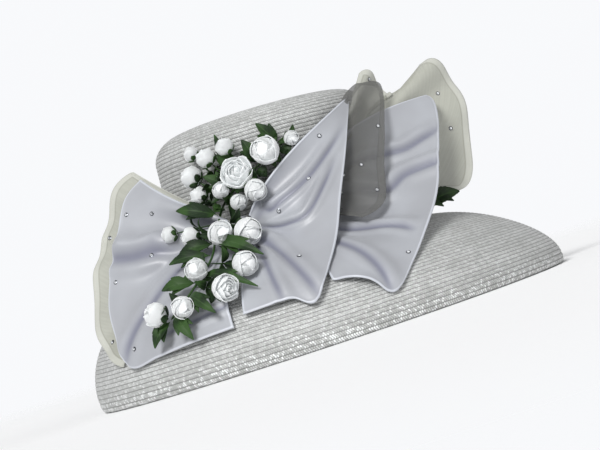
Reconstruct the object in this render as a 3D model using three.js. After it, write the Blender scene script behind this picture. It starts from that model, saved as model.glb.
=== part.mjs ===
// A church hat of sewn braid: a flat-topped crown on a deep bell brim, a lining under the brim, and a large
// bow of satin and organza ribbon that carries a spray of rosebuds.
// Millimetres, +Z up. The origin is the centre of the brim's edge on the surface that the hat rests on,
// the wearer's face looks along -Y, and +X is the wearer's left.
import * as THREE from "three";

// Driving dimensions of the head form. A radius is measured across the hat, and front to back the oval is
// longer by up to OVAL_EXTRA.
const AROUND = 48;
const OVAL_EXTRA = 9;
const OVAL_EASE = 12;
const SMALL_GAP = 0.3;
const BRAID_WALL = 2.4;
const LINING_WALL = 1.2;
const CROWN = { tipHeight: 190, tipRadius: 62, wallRadius: 88, shoulderHeight: 20, baseRadius: 90.5 };
const BRIM = {
  headRadius: 88, joinRadius: 97, joinHeight: 74,
  widestRadius: 193.6, widestHeight: 10.25, fullness: 1.2,
};
// The brim's edge is rolled: the hat rests on the flat between its outer and inner radius.
const EDGE = {
  outerRadius: 192, innerRadius: 189,
  bulgeRadius: 193.4, bulgeHeight: 5,
  insideRadius: 189.6, insideHeight: 5.2,
};
// The band of braid rows that runs round the underside of the edge.
const BAND = {
  edgeRadius: 168.8, edgeHeight: 26.2,
  middleRadius: 180, middleHeight: 12,
  backRadius: 170.7, backHeight: 28,
};
const LINING = {
  hemRadius: 173.5, hemHeight: 25.8,
  stepRadius: 170.2, stepHeight: 29,
  topRadius: 90, topHeight: 68.5,
};
// The crown stands a little to the wearer's right of the brim's middle and leans to the left.
const CROWN_SHIFT = -8;
const CROWN_LEAN = Math.tan(THREE.MathUtils.degToRad(2.4));

// Driving dimensions of the trim.
const SATIN_WALL = 1.2;
const ORGANZA_WALL = 1;
const KNOT = { turn: -40, height: 103, gather: 9 };
const KNOT_ROLL = { across: 15, tall: 15, thick: 23, clear: 12 };
const SOFTENING = 2;
const STEM_RADIUS = 0.9;
const STALK_RADIUS = 0.8;
const LEAF_WALL = 0.8;

const braid = new THREE.MeshStandardMaterial({ color: 0xb4b6b2, roughness: 0.75, metalness: 0 });
const lining = new THREE.MeshStandardMaterial({ color: 0xc4c3b2, roughness: 0.85, metalness: 0 });
const satin = new THREE.MeshStandardMaterial({ color: 0xb4bac6, roughness: 0.4, metalness: 0 });
const organza = new THREE.MeshStandardMaterial({ color: 0xbfc0b0, roughness: 0.6, metalness: 0 });
organza.transparent = true;
organza.opacity = 0.7;
const petal = new THREE.MeshStandardMaterial({ color: 0xe8f2f2, roughness: 0.6, metalness: 0 });
const leafGreen = new THREE.MeshStandardMaterial({ color: 0x35522c, roughness: 0.6, metalness: 0 });

const hat = new THREE.Group();

function add(name, geometry, material) {
  const mesh = new THREE.Mesh(geometry, material);
  mesh.name = name;
  hat.add(mesh);
}

// A point of the upright hat, from its turn round the head (degrees from the front towards the wearer's
// left), its radius across the hat and its height.
function upright(turn, radius, height) {
  const angle = THREE.MathUtils.degToRad(turn);
  const longRadius = radius + (OVAL_EXTRA * radius) / (radius + OVAL_EASE);
  return new THREE.Vector3(radius * Math.sin(angle), -longRadius * Math.cos(angle), height);
}

// The crown's shift and lean, which fade out towards the edge of the brim so that the edge lies flat.
function lean(point) {
  const weight = THREE.MathUtils.smoothstep(point.z, 0, BRIM.joinHeight);
  const x = point.x;
  point.x += weight * (CROWN_SHIFT + CROWN_LEAN * (point.z - BRIM.joinHeight));
  point.z -= weight * CROWN_LEAN * x;
  return point;
}

function leanAll(geometry) {
  const position = geometry.getAttribute("position");
  const point = new THREE.Vector3();
  for (let i = 0; i < position.count; i++) {
    lean(point.fromBufferAttribute(position, i));
    position.setXYZ(i, point.x, point.y, point.z);
  }
  return geometry;
}

// The bell of the brim at a part of the way from its widest place (0) to where it joins the crown (1).
function bell(part) {
  const angle = (part * Math.PI) / 2;
  const rise = Math.sin(angle) ** BRIM.fullness;
  return new THREE.Vector2(
    BRIM.joinRadius + (BRIM.widestRadius - BRIM.joinRadius) * Math.cos(angle),
    BRIM.widestHeight + (BRIM.joinHeight - BRIM.widestHeight) * rise,
  );
}

// The crown's shoulder at a part of the way from the wall (0) to the flat tip (1).
function shoulder(part) {
  const angle = (part * Math.PI) / 2;
  return new THREE.Vector2(
    CROWN.tipRadius + (CROWN.wallRadius - CROWN.tipRadius) * Math.cos(angle),
    CROWN.tipHeight - CROWN.shoulderHeight * (1 - Math.sin(angle)),
  );
}

// The points of a profile that runs upwards, moved by a wall's thickness towards the head.
function inset(points, wall) {
  return points.map((point, i) => {
    const next = points[Math.min(i + 1, points.length - 1)];
    const along = next.clone().sub(points[Math.max(i - 1, 0)]).normalize();
    return new THREE.Vector2(point.x - along.y * wall, point.y + along.x * wall);
  });
}

// A profile of radius and height turned round the oval head. It runs down the inside and up the outside, and
// it closes on itself or starts and ends on the axis.
function revolve(profile) {
  const geometry = new THREE.LatheGeometry(profile, AROUND).rotateX(Math.PI / 2);
  const position = geometry.getAttribute("position");
  for (let i = 0; i < position.count; i++) {
    const across = Math.hypot(position.getX(i), position.getY(i));
    const turn = THREE.MathUtils.radToDeg(Math.atan2(position.getX(i), -position.getY(i)));
    const point = upright(turn, across, position.getZ(i));
    position.setXYZ(i, point.x, point.y, point.z);
  }
  return leanAll(geometry);
}

const parts = (count) => Array.from({ length: count + 1 }, (_, i) => i / count);

function crown() {
  const base = new THREE.Vector2(CROWN.baseRadius, BRIM.joinHeight + SMALL_GAP);
  const outer = [base, ...parts(4).map(shoulder)];
  const inner = inset(outer, BRAID_WALL);
  inner[0].y = base.y;
  inner[inner.length - 1].y = CROWN.tipHeight - BRAID_WALL;
  const top = new THREE.Vector2(0, CROWN.tipHeight);
  const underTop = new THREE.Vector2(0, CROWN.tipHeight - BRAID_WALL);
  return revolve([underTop, ...inner.reverse(), ...outer, top]);
}

function brim() {
  const outer = parts(8).map(bell);
  const inner = inset(parts(6).map(bell), BRAID_WALL);
  const collarTop = new THREE.Vector2(BRIM.headRadius, BRIM.joinHeight);
  const collarUnder = new THREE.Vector2(BRIM.headRadius, BRIM.joinHeight - BRAID_WALL);
  const band = [
    new THREE.Vector2(EDGE.insideRadius, EDGE.insideHeight),
    new THREE.Vector2(BAND.backRadius, BAND.backHeight),
    new THREE.Vector2(BAND.edgeRadius, BAND.edgeHeight),
    new THREE.Vector2(BAND.middleRadius, BAND.middleHeight),
    new THREE.Vector2(EDGE.innerRadius, 0),
    new THREE.Vector2(EDGE.outerRadius, 0),
    new THREE.Vector2(EDGE.bulgeRadius, EDGE.bulgeHeight),
  ];
  inner[0].set(BRIM.widestRadius - BRAID_WALL, BRIM.widestHeight);
  inner[inner.length - 1].y = BRIM.joinHeight - BRAID_WALL;
  return revolve([collarUnder, ...inner.reverse(), ...band, ...outer, collarTop, collarUnder]);
}

// A thin cone of cloth from behind the braid band's edge up to the head opening.
function brimLining() {
  const under = [
    new THREE.Vector2(LINING.hemRadius, LINING.hemHeight),
    new THREE.Vector2(LINING.stepRadius, LINING.stepHeight),
    new THREE.Vector2(LINING.topRadius, LINING.topHeight),
  ];
  const over = inset(under, -LINING_WALL);
  return revolve([...under.reverse(), ...over, under[0]]);
}

add("crown", crown(), braid);
add("brim", brim(), braid);
add("brim_lining", brimLining(), lining);

// The larger of two numbers, with the corner between them rounded.
const softMax = (a, b) => (a + b + Math.hypot(a - b, SOFTENING)) / 2;

const WALL_HEIGHT = CROWN.tipHeight - CROWN.shoulderHeight - BRIM.joinHeight;

function crownRadius(height) {
  const shoulderStart = BRIM.joinHeight + WALL_HEIGHT;
  const taper = (CROWN.baseRadius - CROWN.wallRadius) / WALL_HEIGHT;
  if (height <= shoulderStart) return CROWN.baseRadius - taper * (height - BRIM.joinHeight);
  const rise = Math.min((height - shoulderStart) / CROWN.shoulderHeight, 1);
  return CROWN.tipRadius + (CROWN.wallRadius - CROWN.tipRadius) * Math.sqrt(1 - rise * rise);
}

// Radius and height moved out until they clear the crown's wall, and then the brim's bell, by a gap.
function clearOfHat(place, gap) {
  place.x = softMax(place.x, crownRadius(place.y) + gap);
  const bellLine = [new THREE.Vector2(0, BRIM.joinHeight), ...parts(24).map(bell).reverse()];
  let nearest = { distance: Infinity };
  for (let i = 0; i + 1 < bellLine.length; i++) {
    const along = bellLine[i + 1].clone().sub(bellLine[i]);
    const part = THREE.MathUtils.clamp(place.clone().sub(bellLine[i]).dot(along) / along.lengthSq(), 0, 1);
    const foot = bellLine[i].clone().addScaledVector(along, part);
    const out = new THREE.Vector2(-along.y, along.x).normalize();
    const side = place.clone().sub(foot).dot(out) < 0 ? -1 : 1;
    const distance = place.distanceTo(foot);
    if (distance < nearest.distance) nearest = { distance, side, out };
  }
  const clear = nearest.distance * nearest.side;
  return place.addScaledVector(nearest.out, softMax(clear, gap) - clear);
}

// The value between rows of a table, on a smooth curve through all of them.
function between(rows, column, at) {
  const i = Math.min(Math.floor(at), rows.length - 2);
  const t = at - i;
  const value = (k) => rows[THREE.MathUtils.clamp(k, 0, rows.length - 1)][column];
  const [a, b, c, d] = [value(i - 1), value(i), value(i + 1), value(i + 2)];
  return b + 0.5 * t * (c - a + t * (2 * a - 5 * b + 4 * c - d + t * (3 * (b - c) + d - a)));
}

// A point of a ribbon that fans out from the knot: along runs from the gathers (0) to the free edge (1), and
// across counts the rows of its folds. Each fold is a smooth curve from the gathers through its middle
// place to its end, raised by its ridge and laid clear of the hat.
function fanPoint(folds, gaps, along, across) {
  const gap = gaps.edge + (gaps.knot - gaps.edge) * (1 - along) ** 2;
  const row = (column) => between(folds, column, across);
  const perDegree = THREE.MathUtils.degToRad(CROWN.baseRadius);
  const aside = (row("midTurn") - KNOT.turn) * perDegree;
  const above = row("midHeight") - KNOT.height;
  const reach = KNOT.gather / Math.hypot(aside, above);
  const start = {
    turn: KNOT.turn + (aside * reach) / perDegree,
    radius: crownRadius(KNOT.height) + gaps.knot,
    height: KNOT.height + above * reach,
  };
  const curve = (from, middle, to) =>
    from * (1 - along) * (1 - 2 * along) + middle * 4 * along * (1 - along) + to * along * (2 * along - 1);
  const lift = row("ridge") * (Math.sin(Math.PI * along ** 0.6) * (1 - 0.3 * along) + 0.25 * along);
  const place = new THREE.Vector2(
    curve(start.radius, row("midRadius"), row("endRadius")) + 0.8 * lift,
    curve(start.height, row("midHeight"), row("endHeight")) + 0.6 * lift,
  );
  clearOfHat(place, gap);
  return lean(upright(curve(start.turn, row("midTurn"), row("endTurn")), place.x, place.y));
}

// A sheet of cloth over a grid of points, with a wall of even thickness and a closed edge.
function cloth(pointAt, steps, wall) {
  const [alongSteps, acrossSteps] = steps;
  const part = (index, steps) => THREE.MathUtils.clamp(index, 0, steps) / steps;
  const at = (i, j) => pointAt(part(i, alongSteps), part(j, acrossSteps));
  const positions = [];
  for (const side of [0.5, -0.5])
    for (let j = 0; j <= acrossSteps; j++)
      for (let i = 0; i <= alongSteps; i++) {
        const alongLine = at(i + 1, j).sub(at(i - 1, j));
        const acrossLine = at(i, j + 1).sub(at(i, j - 1));
        const point = at(i, j).addScaledVector(alongLine.cross(acrossLine).normalize(), side * wall);
        positions.push(point.x, point.y, point.z);
      }
  const row = alongSteps + 1;
  const under = row * (acrossSteps + 1);
  const faces = [];
  const quad = (a, b, c, d) => faces.push(a, b, c, a, c, d);
  for (let j = 0; j < acrossSteps; j++)
    for (let i = 0; i < alongSteps; i++) {
      const a = j * row + i;
      quad(a, a + 1, a + row + 1, a + row);
      quad(under + a, under + a + row, under + a + row + 1, under + a + 1);
    }
  for (let i = 0; i < alongSteps; i++) {
    const last = acrossSteps * row;
    quad(i, under + i, under + i + 1, i + 1);
    quad(last + i + 1, under + last + i + 1, under + last + i, last + i);
  }
  for (let j = 0; j < acrossSteps; j++) {
    const a = j * row;
    const b = a + alongSteps;
    quad(a + row, under + a + row, under + a, a);
    quad(b, under + b, under + b + row, b + row);
  }
  const geometry = new THREE.BufferGeometry();
  geometry.setAttribute("position", new THREE.Float32BufferAttribute(positions, 3));
  geometry.setIndex(faces);
  return geometry;
}

// Rows of numbers as objects with named columns.
function table(columns, rows) {
  return rows.map((row) => Object.fromEntries(columns.map((column, i) => [column, row[i]])));
}

const FOLD_COLUMNS = ["midTurn", "midRadius", "midHeight", "endTurn", "endRadius", "endHeight", "ridge"];

// Each ribbon's folds go round the knot one after another, and gaps is how far it
// lies off the hat near the knot and at its free edge.
const RIBBONS = [
  {
    name: "satin_front", gaps: { knot: 12, edge: 5 }, wall: SATIN_WALL, steps: [8, 14], material: satin,
    folds: [
      [-11, 102, 147, 27, 98, 179, 1], [-12, 106, 130, 14, 108, 147, -2], [-15, 115, 109, 0, 128, 106, 3],
      [-20, 127, 88, -10, 157, 67, -2], [-25, 139, 72, -20, 188, 33, 2], [-29, 141, 69, -25, 186, 39, -1],
      [-33, 142, 69, -31, 186, 39, 2], [-37, 142, 69, -37, 186, 39, 0],
    ],
  },
  {
    name: "satin_left", gaps: { knot: 12, edge: 4 }, wall: SATIN_WALL, steps: [8, 16], material: satin,
    folds: [
      [-67, 106, 136, -85, 112, 163, 0], [-68, 109, 128, -87, 127, 149, 4],
      [-68, 116, 116, -85, 147, 117, -4], [-68, 122, 104, -82, 165, 86, 4],
      [-65, 131, 91, -78, 179, 58, -3], [-59, 142, 75, -72, 188, 26, 3],
      [-54, 147, 67, -62, 191, 28, -2], [-48, 148, 66, -51, 191, 30, 2],
      [-41, 144, 68, -40, 190, 33, 0],
    ],
  },
  {
    name: "organza_left", gaps: { knot: 6, edge: 1.2 }, wall: ORGANZA_WALL, steps: [7, 10], material: organza,
    folds: [
      [-70, 101, 141, -91, 113, 172, 0], [-72, 104, 133, -95, 127, 161, 1],
      [-74, 111, 122, -94, 146, 129, -2], [-74, 118, 110, -92, 164, 97, 2],
      [-72, 126, 95, -88, 177, 66, -1], [-68, 133, 80, -83, 185, 42, 1],
      [-62, 138, 67, -76, 189, 25, 0],
    ],
  },
  {
    name: "organza_front", gaps: { knot: 9, edge: 6 }, wall: ORGANZA_WALL, steps: [7, 9], material: organza,
    folds: [
      [9, 92, 162, 34, 97, 185, 0], [9, 95, 145, 44, 107, 179, 1], [6, 98, 130, 33, 113, 145, -1],
      [2, 102, 116, 23, 119, 116, 2], [-4, 106, 102, 15, 128, 88, -1], [-9, 113, 90, 3, 136, 78, 0],
    ],
  },
  {
    name: "satin_right", gaps: { knot: 6, edge: 2.5 }, wall: SATIN_WALL, steps: [9, 18], material: satin,
    folds: [
      [20, 88, 150, 56, 146, 164, 1], [17, 90, 132, 42, 147, 124, -3], [12, 96, 111, 29, 154, 91, 3],
      [5, 108, 90, 17, 167, 66, -2], [-3, 128, 74, 5, 181, 40, 2], [-8, 140, 66, -4, 191, 22, 0],
      [-12, 140, 66, -8, 190, 36, 3], [-15, 135, 68, -12, 184, 43, 1], [-20, 130, 70, -15, 178, 43, 0],
    ],
  },
  {
    name: "organza_right", gaps: { knot: 2, edge: 2 }, wall: ORGANZA_WALL, steps: [8, 14], material: organza,
    folds: [
      [18, 86, 156, 51, 93, 200, 0], [20, 86, 152, 54, 102, 184, 1], [22, 86, 148, 54, 109, 168, -2],
      [24, 86, 144, 58, 124, 176, 2], [26, 87, 138, 64, 143, 192, -1], [27, 88, 131, 65, 158, 168, 2],
      [27, 89, 122, 62, 160, 132, -2], [26, 90, 112, 57, 156, 102, 2], [25, 92, 102, 51, 151, 78, 0],
    ],
  },
];

for (const { name, gaps, wall, steps, material, folds } of RIBBONS) {
  const rows = table(FOLD_COLUMNS, folds);
  const pointAt = (along, across) => fanPoint(rows, gaps, along, across * (rows.length - 1));
  add(name, cloth(pointAt, steps, wall), material);
}

// The knot is a plain padded roll, sewn to the crown, that the ribbons are gathered round.
function knot() {
  const { across, tall, thick, clear } = KNOT_ROLL;
  const roll = new THREE.SphereGeometry(1, 10, 8).scale(across / 2, thick / 2, tall / 2);
  roll.rotateZ(THREE.MathUtils.degToRad(KNOT.turn));
  const centre = upright(KNOT.turn, crownRadius(KNOT.height) + clear, KNOT.height);
  return leanAll(roll.translate(centre.x, centre.y, centre.z));
}

add("bow_knot", knot(), satin);

// The spray's wire stem runs down over the knot and along the left ribbon.
const STEM = table(
  ["turn", "radius", "height"],
  [
    [-8, 92, 160], [-21, 93, 149], [-34, 93, 138], [-46, 96, 125],
    [-48.5, 113.5, 105.5], [-46.5, 141, 85], [-49.5, 169, 65], [-54, 188, 50],
  ],
);
const onHat = ({ turn, radius, height }) => lean(upright(turn, radius, height));
const stemCurve = new THREE.CatmullRomCurve3(STEM.map(onHat));

function wire(curve, steps, radius) {
  const corner = (part) => new THREE.Vector2(radius, 0).rotateAround(new THREE.Vector2(), 2 * Math.PI * part);
  const outline = new THREE.Shape(parts(6).slice(1).map(corner));
  return new THREE.ExtrudeGeometry(outline, { extrudePath: curve, steps });
}

add("spray_stem", wire(stemCurve, 36, STEM_RADIUS), leafGreen);

// A rosebud stands on its own stalk from a place on the stem (0 at the top end, 1 at the bottom end).
const BUDS = table(
  ["on", "turn", "radius", "height", "diameter"],
  [
    [0.13, -21, 102, 152, 20], [0.02, -9, 99, 157, 10], [0.31, -35, 106, 142, 22], [0.28, -29, 114, 126, 15],
    [0.26, -38, 101, 164, 12], [0.34, -47, 104, 160, 13], [0.38, -56, 97, 167, 10], [0.42, -58, 100, 150, 15],
    [0.46, -55, 104, 134, 12], [0.42, -44, 106, 133, 11], [0.45, -38, 107, 121, 11], [0.52, -34, 131, 97, 19],
    [0.62, -42.5, 136, 101, 17], [0.57, -56, 125, 105, 14], [0.74, -34, 165, 73.5, 17], [0.78, -46.5, 168, 79, 15],
    [0.84, -38.7, 184, 60.5, 18], [0.92, -49, 192, 56, 15], [1, -56, 193, 55.5, 17], [0.54, -64.5, 127, 112, 11],
  ],
);

// A bud's outline from the stalk's foot to the tip, for a stalk of a given length.
function budOutline(size, stalk) {
  return [
    [0, 0], [STALK_RADIUS, 0], [STALK_RADIUS, stalk], [0.3 * size, stalk + 0.12 * size],
    [0.5 * size, stalk + 0.45 * size], [0.43 * size, stalk + 0.8 * size], [0.18 * size, stalk + 1.02 * size],
    [0, stalk + 1.04 * size],
  ].map(([x, y]) => new THREE.Vector2(x, y));
}

function bud({ on, turn, radius, height, diameter }) {
  const foot = stemCurve.getPoint(on);
  const middle = onHat({ turn, radius, height });
  const direction = middle.clone().sub(foot).normalize();
  foot.addScaledVector(direction, STEM_RADIUS + STALK_RADIUS + SMALL_GAP);
  const stalk = Math.max(middle.distanceTo(foot) - 0.5 * diameter, 0.5);
  const geometry = new THREE.LatheGeometry(budOutline(diameter, stalk), 9);
  geometry.applyQuaternion(new THREE.Quaternion().setFromUnitVectors(new THREE.Vector3(0, 1, 0), direction));
  return geometry.translate(foot.x, foot.y, foot.z);
}

// A leaf goes from its place on a stem to its tip: a stalk, then a pointed blade folded along the middle.
function leaf(curve, { on, turn, radius, height, width }) {
  const foot = curve.getPoint(on);
  const tip = onHat({ turn, radius, height });
  const direction = tip.clone().sub(foot).normalize();
  foot.addScaledVector(direction, STEM_RADIUS + STALK_RADIUS + SMALL_GAP);
  const out = upright(turn, 1, 0).setZ(0.6).normalize();
  const side = direction.clone().cross(out).normalize();
  const up = side.clone().cross(direction).normalize();
  const pointAt = (along, across) => {
    const half = 0.5 * width * (0.09 + Math.sin(Math.PI * Math.min(along, 0.97) ** 1.3) ** 0.8);
    const turned = 2 * across - 1;
    const arch = 2.2 * Math.sin(Math.PI * along);
    const point = foot.clone().lerp(tip, along).addScaledVector(side, half * turned);
    return point.addScaledVector(up, arch + 0.25 * half * Math.abs(turned));
  };
  return cloth(pointAt, [4, 2], LEAF_WALL);
}

const LEAF_COLUMNS = ["on", "turn", "radius", "height", "width"];
const LEAVES = table(LEAF_COLUMNS, [
  [0.08, -22, 100, 175, 9], [0.2, -30, 101, 166, 9], [0.22, -24, 96, 134, 7], [0.36, -50, 106, 148, 8],
  [0.33, -43, 94, 177, 7], [0.06, -12, 97, 145, 8], [0.48, -47, 112, 122, 8],
  [0.5, -63, 118, 129, 9], [0.64, -59, 139, 94.5, 8], [0.64, -29.5, 156, 78, 8], [0.79, -31.8, 180, 56.5, 6],
  [0.82, -58, 171, 72, 8], [0.88, -42, 194, 47, 8], [0.7, -60, 149, 90, 7], [0.97, -48.7, 200, 34, 8],
  [1, -59, 200, 35.5, 8], [0.14, -16, 98, 142, 7],
]);

const numbered = (name, i) => `${name}_${String(i + 1).padStart(2, "0")}`;

BUDS.forEach((row, i) => add(numbered("bud", i), bud(row), petal));
LEAVES.forEach((row, i) => add(numbered("leaf", i), leaf(stemCurve, row), leafGreen));

// A small sprig of leaves stands where the brim meets the crown, on the wearer's left.
const SPRIG = table(
  ["turn", "radius", "height"],
  [[22, 92.5, 77.5], [30, 106, 80], [38, 122, 79]],
);
const sprigCurve = new THREE.CatmullRomCurve3(SPRIG.map(onHat));

add("sprig_stem", wire(sprigCurve, 6, STEM_RADIUS), leafGreen);

const SPRIG_LEAVES = table(LEAF_COLUMNS, [
  [0.3, 30, 120, 94, 9], [0.6, 37, 130, 92, 9], [1, 45, 148, 84, 11], [0.85, 36, 142, 76, 10],
]);

SPRIG_LEAVES.forEach((row, i) => add(`sprig_leaf_${i + 1}`, leaf(sprigCurve, row), leafGreen));

export default hat;
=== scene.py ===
"""The visible surfaces of a church hat: braid crown and bell brim, satin and organza bow, rosebud spray.

The frame is the hat's own: +Z up, the wearer looks along -Y and +X is the wearer's left. Shapes are worked
out in millimetres and become metres when a mesh is made. A turn is an angle in degrees round the head, from
the front towards the wearer's left, and a radius is measured across the oval hat.
"""

import bpy
import numpy as np
from mathutils import Matrix, Vector


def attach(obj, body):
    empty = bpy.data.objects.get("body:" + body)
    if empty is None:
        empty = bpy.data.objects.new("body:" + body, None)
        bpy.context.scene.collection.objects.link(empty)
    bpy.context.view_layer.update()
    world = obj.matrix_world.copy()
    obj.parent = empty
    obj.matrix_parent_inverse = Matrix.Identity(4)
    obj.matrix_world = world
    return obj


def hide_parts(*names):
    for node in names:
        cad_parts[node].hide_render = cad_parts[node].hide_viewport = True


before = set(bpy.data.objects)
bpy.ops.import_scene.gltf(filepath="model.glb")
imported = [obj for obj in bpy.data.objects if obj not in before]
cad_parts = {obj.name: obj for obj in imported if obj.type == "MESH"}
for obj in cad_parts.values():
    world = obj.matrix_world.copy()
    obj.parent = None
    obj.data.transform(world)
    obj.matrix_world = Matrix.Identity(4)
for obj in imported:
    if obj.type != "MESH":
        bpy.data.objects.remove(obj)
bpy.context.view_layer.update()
MM = 0.001


# The camera: the photograph's side angle and tilt, a little above the surface that the hat rests on.
SIDE_ANGLE = -20
ELEVATION = -1
TILT = 18.4
DISTANCE = 1990
LENS = 148
AIM = (0, 0, 92)
AIM_OFFSET = (-2, -3)


def add_object(name, data):
    """A new object in the scene."""
    made = bpy.data.objects.new(name, data)
    bpy.context.collection.objects.link(made)
    return made


def make_camera():
    """The camera looks at the aim from its distance along the two angles, turned by the tilt about its own
    line of sight, and stands aside by the offset so that the hat sits in the frame as in the photograph."""
    side, rise, tilt = np.radians([SIDE_ANGLE, ELEVATION, TILT])
    back = np.array([np.sin(side) * np.cos(rise), -np.cos(side) * np.cos(rise), np.sin(rise)])
    right = np.array([np.cos(side), np.sin(side), 0])
    up = np.cross(back, right)
    across = right * np.cos(tilt) - up * np.sin(tilt)
    above = right * np.sin(tilt) + up * np.cos(tilt)
    place = np.array(AIM) + DISTANCE * back - AIM_OFFSET[0] * across - AIM_OFFSET[1] * above
    data = bpy.data.cameras.new("camera")
    data.lens = LENS
    data.clip_start, data.clip_end = 0.05, 50
    camera = add_object("camera", data)
    matrix = Matrix.Identity(4)
    for column, axis in enumerate((across, above, back, place * MM)):
        for row in range(3):
            matrix[row][column] = axis[row]
    camera.matrix_world = matrix
    bpy.context.scene.camera = camera


make_camera()


# Driving dimensions of the head form, as in the frame.
OVAL_EXTRA, OVAL_EASE = 9, 12
BRAID_WALL, LINING_WALL = 2.4, 1.2
TIP_HEIGHT, TIP_RADIUS, WALL_RADIUS, SHOULDER_HEIGHT, BASE_RADIUS = 190, 62, 88, 20, 90.5
HEAD_RADIUS, JOIN_RADIUS, JOIN_HEIGHT = 88, 97, 74
WIDEST_RADIUS, WIDEST_HEIGHT, FULLNESS = 193.6, 10.25, 1.2
BAND = {"edge": (168.8, 26.2), "middle": (180, 12), "back": (170.7, 28)}
EDGE_INSIDE = (189.6, 5.2)
LINING_HEM, LINING_STEP, LINING_TOP = (173.5, 25.8), (170.2, 29), (90, 68.5)
CROWN_SHIFT, CROWN_LEAN = -8, np.tan(np.radians(2.4))
# The braid: width of a plain and of a bold row, and of one rib.
BRAID_ROW, EDGE_ROW = 3.1, 4.2
RIB = 1.9


def smoothstep(value, low, high):
    """0 up to low, 1 from high on, and an even curve between them."""
    part = np.clip((value - low) / (high - low), 0, 1)
    return part * part * (3 - 2 * part)


def upright(turn, radius, height):
    """A point of the upright hat: the radius across, and a little more front to back, at the turn."""
    angle = np.radians(turn)
    long_radius = radius + OVAL_EXTRA * radius / (radius + OVAL_EASE)
    return np.stack(np.broadcast_arrays(radius * np.sin(angle), -long_radius * np.cos(angle), height), -1)


def lean(points):
    """The crown's shift and lean, which fade out towards the brim's edge so that the edge lies flat."""
    x, z = points[..., 0], points[..., 2]
    weight = smoothstep(z, 0, JOIN_HEIGHT)
    shift = weight * (CROWN_SHIFT + CROWN_LEAN * (z - JOIN_HEIGHT))
    return points + np.stack([shift, 0 * x, -weight * CROWN_LEAN * x], -1)


def bell(part):
    """The brim's bell, from its widest place (0) to the crown (1): a quarter of an oval, filled out."""
    angle = np.asarray(part) * np.pi / 2
    radius = JOIN_RADIUS + (WIDEST_RADIUS - JOIN_RADIUS) * np.cos(angle)
    height = WIDEST_HEIGHT + (JOIN_HEIGHT - WIDEST_HEIGHT) * np.sin(angle) ** FULLNESS
    return np.stack([radius, height], -1)


def shoulder(part):
    """The crown's shoulder, from the wall (0) to the flat tip (1): a quarter of an oval."""
    angle = np.asarray(part) * np.pi / 2
    radius = TIP_RADIUS + (WALL_RADIUS - TIP_RADIUS) * np.cos(angle)
    return np.stack([radius, TIP_HEIGHT - SHOULDER_HEIGHT * (1 - np.sin(angle))], -1)


def run_along(places, axis=0):
    """Distance of each point of a line or a grid from its start, measured along one axis."""
    steps = np.linalg.norm(np.diff(places, axis=axis), axis=-1)
    return np.insert(np.cumsum(steps, axis=axis), 0, 0, axis=axis)


def spaced(line, distances):
    """Points of a polyline at the given distances along it."""
    along = run_along(line)
    return np.stack([np.interp(distances, along, line[:, k]) for k in range(line.shape[1])], -1)


def length_of(line):
    """Length of a polyline."""
    return np.linalg.norm(np.diff(line, axis=0), axis=1).sum()


def unit(vectors):
    """The same directions, with length 1."""
    return vectors / np.maximum(np.linalg.norm(vectors, axis=-1, keepdims=True), 1e-9)


def grid_normal(grid):
    """Normals of a surface given as a grid of points."""
    return unit(np.cross(np.gradient(grid, axis=0), np.gradient(grid, axis=1)))


def out_of(line):
    """Normals of a profile that runs down the outside: its direction turned a quarter towards the outside."""
    along = unit(np.gradient(line, axis=0))
    return np.stack([-along[:, 1], along[:, 0]], -1)


# Meshes


def make_piece(name, points, faces, materials, uv=None, slots=None, attributes=None):
    """One object from points in millimetres and rows of four corners. A corner that repeats the one before
    makes a triangle. uv holds one pair for each corner, or one for each point."""
    points = np.asarray(points, float).reshape(-1, 3)
    faces = np.asarray(faces, int)
    keep = np.ones(faces.shape, bool)
    keep[:, 1:] = faces[:, 1:] != faces[:, :-1]
    keep[:, 3] &= faces[:, 3] != faces[:, 0]
    corners = faces[keep]
    sizes = keep.sum(1)
    mesh = bpy.data.meshes.new(name)
    mesh.vertices.add(len(points))
    mesh.vertices.foreach_set("co", (points * MM).ravel())
    mesh.loops.add(len(corners))
    mesh.loops.foreach_set("vertex_index", corners)
    mesh.polygons.add(len(faces))
    mesh.polygons.foreach_set("loop_start", np.concatenate([[0], np.cumsum(sizes)[:-1]]))
    mesh.polygons.foreach_set("use_smooth", np.ones(len(faces), bool))
    for material in materials:
        mesh.materials.append(material)
    if slots is not None:
        mesh.polygons.foreach_set("material_index", np.asarray(slots, int))
    if uv is not None:
        uv = np.asarray(uv, float)
        layer = mesh.uv_layers.new(name="cloth")
        layer.data.foreach_set("uv", (uv[keep] if uv.ndim == 3 else uv[corners]).ravel())
    for key, values in (attributes or {}).items():
        layer = mesh.attributes.new(key, "FLOAT", "POINT")
        layer.data.foreach_set("value", np.asarray(values, float).ravel())
    mesh.update(calc_edges=True)
    mesh.validate()
    return add_object(name, mesh)


def dress(piece, slot, *nodes):
    """Hides the solids that a piece stands for and fixes it to the hat. The slot, which names its finish, is
    not used.
    """
    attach(piece, "root")
    if nodes:
        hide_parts(*nodes)
    return piece


def grid_faces(rows, columns, first=0):
    """Corners of the cells of a grid of points, numbered row by row."""
    i, j = np.indices((rows - 1, columns - 1))
    a = (first + i * columns + j).ravel()
    return np.stack([a, a + columns, a + columns + 1, a + 1], -1)


def ring_faces(index):
    """Faces between neighbouring rings of points, each ring closed on itself. A row of index holds the
    numbers of one ring's points."""
    wrap = np.concatenate([index, index[:, :1]], axis=1)
    return np.stack([wrap[:-1, :-1], wrap[:-1, 1:], wrap[1:, 1:], wrap[1:, :-1]], -1).reshape(-1, 4)


def capped_faces(rings, sides):
    """Faces of a stack of rings that is closed by one middle point at each end. The points are numbered ring
    by ring, and the two middle points come last."""
    index = np.arange(rings * sides).reshape(rings, sides)
    first, last = (np.full((1, sides), rings * sides + k) for k in (0, 1))
    return ring_faces(np.concatenate([first, index, last]))


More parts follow.
